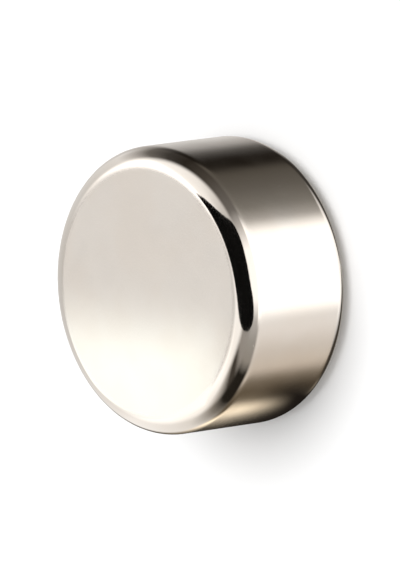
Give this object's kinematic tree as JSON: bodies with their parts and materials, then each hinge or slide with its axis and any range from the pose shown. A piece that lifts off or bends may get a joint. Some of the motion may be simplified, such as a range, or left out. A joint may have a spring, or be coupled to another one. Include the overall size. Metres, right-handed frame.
{
  "type": "disc magnet",
  "caption": "Plain round disc magnet with two flat pole faces and rounded edges, nickel plated, magnetised through its thickness.",
  "frame": {"origin": "centre of the lower pole face, which the disc lies on", "axes": "+Z along the disc's axis, from the lower pole face to the upper one; X and Y are any two directions across the disc, which is round"},
  "size_m": [0.01, 0.01, 0.005],
  "materials": {
    "nickel_plate": "gloss"
  },
  "bodies": {
    "root": {"magnet_disc": "nickel_plate"}
  },
  "joints": []
}
